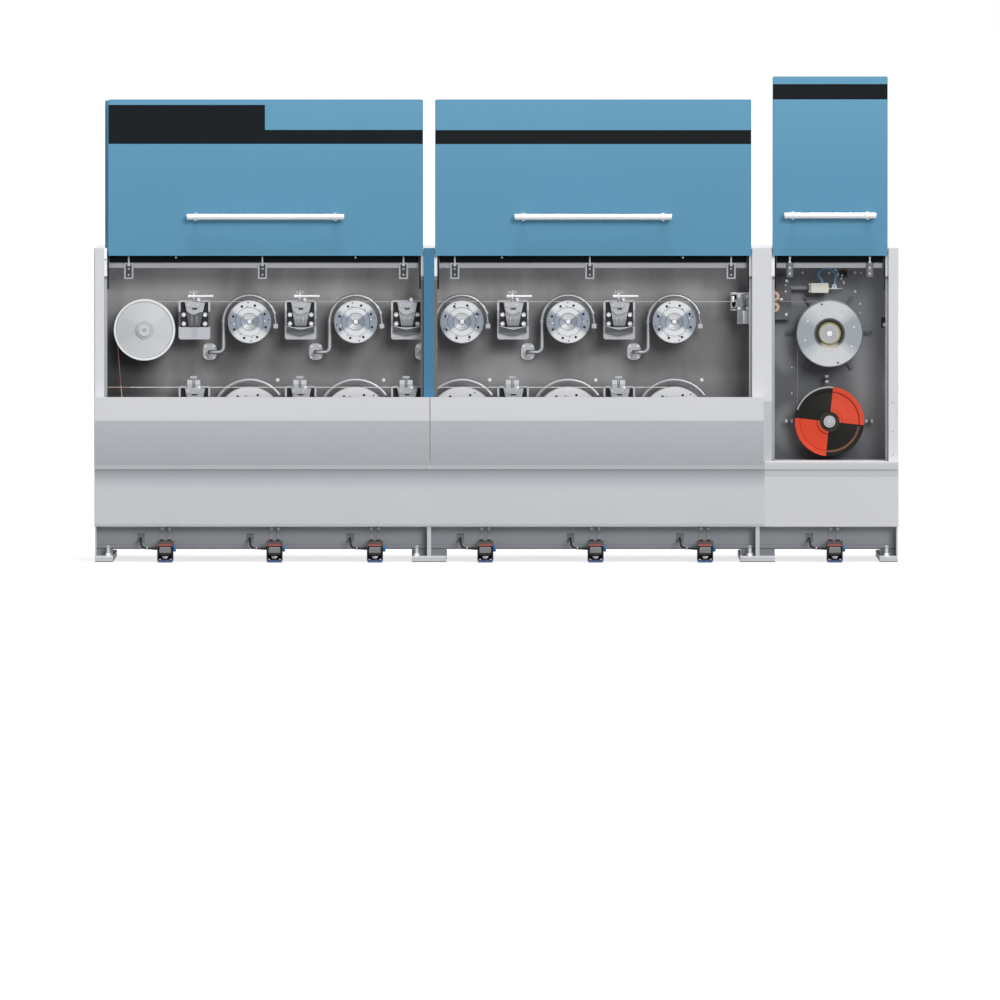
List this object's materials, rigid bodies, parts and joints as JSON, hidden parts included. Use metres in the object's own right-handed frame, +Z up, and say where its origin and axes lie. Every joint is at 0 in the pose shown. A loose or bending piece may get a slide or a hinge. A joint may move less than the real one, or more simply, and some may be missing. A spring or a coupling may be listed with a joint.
{
  "type": "wire drawing machine",
  "caption": "Long free-standing wire drawing machine with two levels of capstans, spray pipes, die holders, a finishing section, sliding guards raised and foot switches.",
  "frame": {"origin": "centre of the bounding box at floor level", "axes": "+X along the machine to the viewer's right, +Y away from the viewer, +Z up"},
  "size_m": [4.83, 1.52, 2.914],
  "materials": {
    "light_grey_paint": "satin",
    "base_grey_paint": "satin",
    "dark_grey_paint": "satin",
    "blue_paint": "satin",
    "bright_strip": "brushed",
    "black_seal": "matt",
    "wall_steel": "brushed",
    "handle_steel": "polished",
    "capstan_steel": "turned",
    "pulley_aluminium": "satin",
    "pulley_red": "satin",
    "roller_copper": "satin",
    "pipe_steel": "satin",
    "holder_steel": "satin",
    "fitting_dark": "satin",
    "sensor_white": "satin",
    "lead_black": "matt",
    "wire_copper": "bright",
    "switch_black": "satin",
    "treadle_grey": "satin",
    "screw_steel": "plain"
  },
  "bodies": {
    "frame": {"access_panels": "light_grey_paint", "base_frame": "base_grey_paint", "base_skirt": "light_grey_paint", "bearing_housings": "wall_steel", "cross_feet": "base_grey_paint", "drawing_wires": "wire_copper", "end_walls": "light_grey_paint", "exit_guide": "holder_steel", "finishing_wall": "wall_steel", "foot_switch_guards": "switch_black", "foot_switch_leads": "lead_black", "frame_posts": "light_grey_paint", "front_trays": "light_grey_paint", "header_rails": "light_grey_paint", "header_seals": "black_seal", "jack_screws": "screw_steel", "kick_panel": "dark_grey_paint", "lower_die_holders": "holder_steel", "lower_spray_pipes": "pipe_steel", "middle_post": "blue_paint", "partition_wall": "light_grey_paint", "process_wall": "wall_steel", "rear_housing": "light_grey_paint", "return_roller": "capstan_steel", "roller_bracket": "fitting_dark", "roof_panel": "light_grey_paint", "runner_strips": "bright_strip", "sensor_leads": "lead_black", "tension_sensor": "sensor_white", "upper_die_holders": "holder_steel", "upper_spray_pipes": "pipe_steel", "wall_fittings": "fitting_dark"},
    "left_door": {"left_door": "blue_paint", "left_door_handle": "handle_steel"},
    "middle_door": {"middle_door": "blue_paint", "middle_door_handle": "handle_steel"},
    "right_door": {"right_door": "blue_paint", "right_door_handle": "handle_steel"},
    "inlet_pulley": {"inlet_pulley": "pulley_aluminium"},
    "upper_capstan_1": {"upper_capstan_1": "capstan_steel"},
    "upper_capstan_2": {"upper_capstan_2": "capstan_steel"},
    "upper_capstan_3": {"upper_capstan_3": "capstan_steel"},
    "upper_capstan_4": {"upper_capstan_4": "capstan_steel"},
    "upper_capstan_5": {"upper_capstan_5": "capstan_steel"},
    "lower_capstan_1": {"lower_capstan_1": "capstan_steel"},
    "lower_capstan_2": {"lower_capstan_2": "capstan_steel"},
    "lower_capstan_3": {"lower_capstan_3": "capstan_steel"},
    "lower_capstan_4": {"lower_capstan_4": "capstan_steel"},
    "lower_capstan_5": {"lower_capstan_5": "capstan_steel"},
    "finishing_capstan": {"finishing_capstan": "capstan_steel"},
    "return_pulley": {"return_pulley": "pulley_red"},
    "upper_guide_roller": {"upper_guide_roller": "roller_copper"},
    "lower_guide_roller": {"lower_guide_roller": "roller_copper"},
    "treadle_1": {"treadle_1": "treadle_grey"},
    "treadle_2": {"treadle_2": "treadle_grey"},
    "treadle_3": {"treadle_3": "treadle_grey"},
    "treadle_4": {"treadle_4": "treadle_grey"},
    "treadle_5": {"treadle_5": "treadle_grey"},
    "treadle_6": {"treadle_6": "treadle_grey"},
    "treadle_7": {"treadle_7": "treadle_grey"}
  },
  "joints": [
    {"name": "left_door_slide", "type": "slide", "parent": "frame", "child": "left_door", "axis": [0, 0, -1], "range_m": [0, 0.87]},
    {"name": "middle_door_slide", "type": "slide", "parent": "frame", "child": "middle_door", "axis": [0, 0, -1], "range_m": [0, 0.87]},
    {"name": "right_door_slide", "type": "slide", "parent": "frame", "child": "right_door", "axis": [0, 0, -1], "range_m": [0, 1.226]},
    {"name": "inlet_pulley_spin", "type": "hinge", "parent": "frame", "child": "inlet_pulley", "pos_m": [-2.1156, -0.28, 1.3892], "axis": [0, -1, 0], "continuous": true},
    {"name": "upper_capstan_1_spin", "type": "hinge", "parent": "frame", "child": "upper_capstan_1", "pos_m": [-1.484, -0.28, 1.4382], "axis": [0, -1, 0], "continuous": true},
    {"name": "upper_capstan_2_spin", "type": "hinge", "parent": "frame", "child": "upper_capstan_2", "pos_m": [-0.8455, -0.28, 1.4382], "axis": [0, -1, 0], "continuous": true},
    {"name": "upper_capstan_3_spin", "type": "hinge", "parent": "frame", "child": "upper_capstan_3", "pos_m": [-0.207, -0.28, 1.4382], "axis": [0, -1, 0], "continuous": true},
    {"name": "upper_capstan_4_spin", "type": "hinge", "parent": "frame", "child": "upper_capstan_4", "pos_m": [0.4315, -0.28, 1.4382], "axis": [0, -1, 0], "continuous": true},
    {"name": "upper_capstan_5_spin", "type": "hinge", "parent": "frame", "child": "upper_capstan_5", "pos_m": [1.07, -0.28, 1.4382], "axis": [0, -1, 0], "continuous": true},
    {"name": "lower_capstan_1_spin", "type": "hinge", "parent": "frame", "child": "lower_capstan_1", "pos_m": [-1.484, -0.28, 0.8472], "axis": [0, -1, 0], "continuous": true},
    {"name": "lower_capstan_2_spin", "type": "hinge", "parent": "frame", "child": "lower_capstan_2", "pos_m": [-0.8455, -0.28, 0.8472], "axis": [0, -1, 0], "continuous": true},
    {"name": "lower_capstan_3_spin", "type": "hinge", "parent": "frame", "child": "lower_capstan_3", "pos_m": [-0.207, -0.28, 0.8472], "axis": [0, -1, 0], "continuous": true},
    {"name": "lower_capstan_4_spin", "type": "hinge", "parent": "frame", "child": "lower_capstan_4", "pos_m": [0.4315, -0.28, 0.8472], "axis": [0, -1, 0], "continuous": true},
    {"name": "lower_capstan_5_spin", "type": "hinge", "parent": "frame", "child": "lower_capstan_5", "pos_m": [1.07, -0.28, 0.8472], "axis": [0, -1, 0], "continuous": true},
    {"name": "finishing_capstan_spin", "type": "hinge", "parent": "frame", "child": "finishing_capstan", "pos_m": [2.003, -0.28, 1.3672], "axis": [0, -1, 0], "continuous": true},
    {"name": "return_pulley_spin", "type": "hinge", "parent": "frame", "child": "return_pulley", "pos_m": [2.003, -0.28, 0.838], "axis": [0, -1, 0], "continuous": true},
    {"name": "upper_guide_roller_spin", "type": "hinge", "parent": "frame", "child": "upper_guide_roller", "pos_m": [1.6746, -0.28, 1.5922], "axis": [0, -1, 0], "continuous": true},
    {"name": "lower_guide_roller_spin", "type": "hinge", "parent": "frame", "child": "lower_guide_roller", "pos_m": [1.6746, -0.28, 1.5258], "axis": [0, -1, 0], "continuous": true},
    {"name": "treadle_1_press", "type": "hinge", "parent": "frame", "child": "treadle_1", "pos_m": [-1.985, -0.642, 0.044], "axis": [1, 0, 0], "range_deg": [0, 8], "stiffness_Nm_per_rad": 2, "springref_deg": -11.46},
    {"name": "treadle_2_press", "type": "hinge", "parent": "frame", "child": "treadle_2", "pos_m": [-1.33, -0.642, 0.044], "axis": [1, 0, 0], "range_deg": [0, 8], "stiffness_Nm_per_rad": 2, "springref_deg": -11.46},
    {"name": "treadle_3_press", "type": "hinge", "parent": "frame", "child": "treadle_3", "pos_m": [-0.728, -0.642, 0.044], "axis": [1, 0, 0], "range_deg": [0, 8], "stiffness_Nm_per_rad": 2, "springref_deg": -11.46},
    {"name": "treadle_4_press", "type": "hinge", "parent": "frame", "child": "treadle_4", "pos_m": [-0.066, -0.642, 0.044], "axis": [1, 0, 0], "range_deg": [0, 8], "stiffness_Nm_per_rad": 2, "springref_deg": -11.46},
    {"name": "treadle_5_press", "type": "hinge", "parent": "frame", "child": "treadle_5", "pos_m": [0.595, -0.642, 0.044], "axis": [1, 0, 0], "range_deg": [0, 8], "stiffness_Nm_per_rad": 2, "springref_deg": -11.46},
    {"name": "treadle_6_press", "type": "hinge", "parent": "frame", "child": "treadle_6", "pos_m": [1.252, -0.642, 0.044], "axis": [1, 0, 0], "range_deg": [0, 8], "stiffness_Nm_per_rad": 2, "springref_deg": -11.46},
    {"name": "treadle_7_press", "type": "hinge", "parent": "frame", "child": "treadle_7", "pos_m": [2.029, -0.642, 0.044], "axis": [1, 0, 0], "range_deg": [0, 8], "stiffness_Nm_per_rad": 2, "springref_deg": -11.46}
  ]
}
